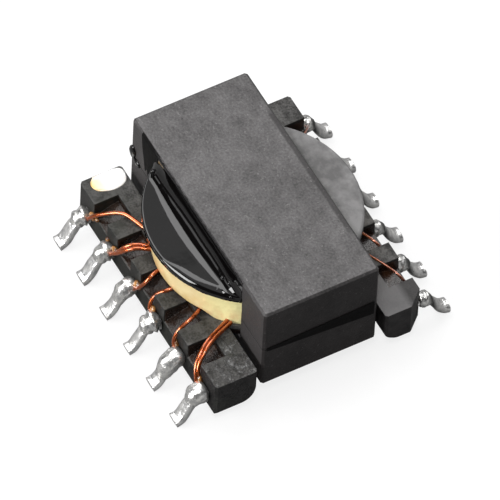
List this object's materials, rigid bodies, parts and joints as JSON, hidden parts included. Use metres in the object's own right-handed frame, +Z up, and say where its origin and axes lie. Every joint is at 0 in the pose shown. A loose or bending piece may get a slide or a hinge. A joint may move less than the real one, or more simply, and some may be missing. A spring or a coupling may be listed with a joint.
{
  "type": "pcb transformer",
  "caption": "Surface-mount power transformer: closed ferrite core pair, moulded coil former with slotted terminal rails, taped winding, lead wires soldered to gull-wing terminals.",
  "frame": {"origin": "on the board's surface, under the middle of the part", "axes": "+Z up from the board, +X along the core's long side, +Y across the part towards one row of terminals"},
  "size_m": [0.0148, 0.0162, 0.0073],
  "materials": {
    "adhesive": "satin",
    "enamelled_copper": "clear enamel over copper",
    "ferrite": "fine-grained ground ceramic",
    "former_plastic": "satin moulded",
    "solder": "bright, rippled",
    "tinned_strip": "bright tin",
    "varnish": "high gloss",
    "winding_tape": "satin film"
  },
  "bodies": {
    "root": {"coil_former": "former_plastic", "core_bond_front": "adhesive", "core_bond_rear": "adhesive", "core_lower": "ferrite", "core_upper": "ferrite", "interlayer_tape": "winding_tape", "lead_01": "enamelled_copper", "lead_02": "enamelled_copper", "lead_02_pair": "enamelled_copper", "lead_03": "enamelled_copper", "lead_04": "enamelled_copper", "lead_05": "enamelled_copper", "lead_06": "enamelled_copper", "lead_06_pair": "enamelled_copper", "lead_07": "enamelled_copper", "lead_08": "enamelled_copper", "lead_09": "enamelled_copper", "lead_10": "enamelled_copper", "lead_11": "enamelled_copper", "lead_12": "enamelled_copper", "outer_tape": "winding_tape", "primary_winding": "enamelled_copper", "secondary_winding": "enamelled_copper", "solder_joint_01": "solder", "solder_joint_02": "solder", "solder_joint_03": "solder", "solder_joint_04": "solder", "solder_joint_05": "solder", "solder_joint_06": "solder", "solder_joint_07": "solder", "solder_joint_08": "solder", "solder_joint_09": "solder", "solder_joint_10": "solder", "solder_joint_11": "solder", "solder_joint_12": "solder", "terminal_01": "tinned_strip", "terminal_02": "tinned_strip", "terminal_03": "tinned_strip", "terminal_04": "tinned_strip", "terminal_05": "tinned_strip", "terminal_06": "tinned_strip", "terminal_07": "tinned_strip", "terminal_08": "tinned_strip", "terminal_09": "tinned_strip", "terminal_10": "tinned_strip", "terminal_11": "tinned_strip", "terminal_12": "tinned_strip", "varnish_run": "varnish"}
  },
  "joints": []
}
